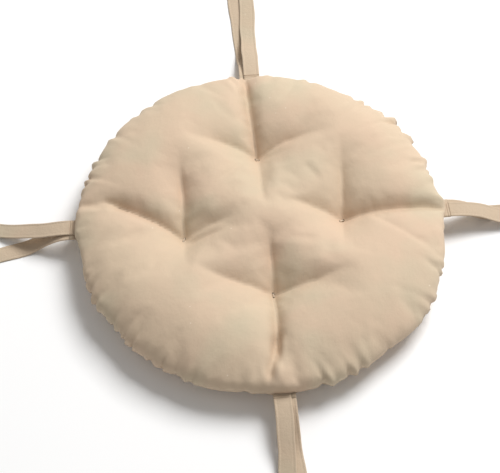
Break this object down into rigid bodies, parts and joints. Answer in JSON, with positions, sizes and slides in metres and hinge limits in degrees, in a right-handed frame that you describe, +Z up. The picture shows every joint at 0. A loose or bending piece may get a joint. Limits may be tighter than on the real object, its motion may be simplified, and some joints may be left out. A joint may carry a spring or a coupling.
{
  "type": "chair seat pad",
  "caption": "Round hand-tufted chair seat pad in natural cotton calico, with a sewn knife edge and pairs of flat cloth ties for fastening it to a chair.",
  "frame": {"origin": "centre of the flat underside, on the surface that the pad lies on", "axes": "+Z up out of the seat; +X towards the right-hand pair of ties and -Y towards the front pair"},
  "size_m": [0.8728, 0.8791, 0.0632],
  "materials": {
    "calico": "matte",
    "tie_cloth": "matte",
    "thread": "matte",
    "fibre": "matte"
  },
  "bodies": {
    "pad": {"top_panel": "calico", "bottom_panel": "calico", "filling": "fibre", "seam_stitching": "thread", "tuft_thread_right": "thread", "tuft_thread_back": "thread", "tuft_thread_left": "thread", "tuft_thread_front": "thread", "tie_ends_right": "tie_cloth", "tie_ends_back": "tie_cloth", "tie_ends_left": "tie_cloth", "tie_ends_front": "tie_cloth"},
    "tie_right_lower": {"tie_right_lower": "tie_cloth"},
    "tie_right_upper": {"tie_right_upper": "tie_cloth"},
    "tie_back_lower": {"tie_back_lower": "tie_cloth"},
    "tie_back_upper": {"tie_back_upper": "tie_cloth"},
    "tie_left_lower": {"tie_left_lower": "tie_cloth"},
    "tie_left_upper": {"tie_left_upper": "tie_cloth"},
    "tie_front_lower": {"tie_front_lower": "tie_cloth"},
    "tie_front_upper": {"tie_front_upper": "tie_cloth"}
  },
  "joints": [
    {"name": "tie_right_lower_fold", "type": "hinge", "parent": "pad", "child": "tie_right_lower", "pos_m": [0.203, 0, 0.024], "axis": [0, -1, 0], "range_deg": [-90, 50]},
    {"name": "tie_right_upper_fold", "type": "hinge", "parent": "tie_right_lower", "child": "tie_right_upper", "pos_m": [0.203, 0, 0.024], "axis": [0, -1, 0], "range_deg": [0, 35]},
    {"name": "tie_back_lower_fold", "type": "hinge", "parent": "pad", "child": "tie_back_lower", "pos_m": [0.01062, 0.20272, 0.024], "axis": [0.9986, -0.0523, 0], "range_deg": [-90, 50]},
    {"name": "tie_back_upper_fold", "type": "hinge", "parent": "tie_back_lower", "child": "tie_back_upper", "pos_m": [0.01062, 0.20272, 0.024], "axis": [0.9986, -0.0523, 0], "range_deg": [0, 35]},
    {"name": "tie_left_lower_fold", "type": "hinge", "parent": "pad", "child": "tie_left_lower", "pos_m": [-0.20223, 0.01769, 0.024], "axis": [0.0872, 0.9962, 0], "range_deg": [-90, 50]},
    {"name": "tie_left_upper_fold", "type": "hinge", "parent": "tie_left_lower", "child": "tie_left_upper", "pos_m": [-0.20223, 0.01769, 0.024], "axis": [0.0872, 0.9962, 0], "range_deg": [0, 35]},
    {"name": "tie_front_lower_fold", "type": "hinge", "parent": "pad", "child": "tie_front_lower", "pos_m": [0, -0.203, 0.024], "axis": [-1, 0, 0], "range_deg": [-90, 50]},
    {"name": "tie_front_upper_fold", "type": "hinge", "parent": "tie_front_lower", "child": "tie_front_upper", "pos_m": [0, -0.203, 0.024], "axis": [-1, 0, 0], "range_deg": [0, 35]}
  ]
}
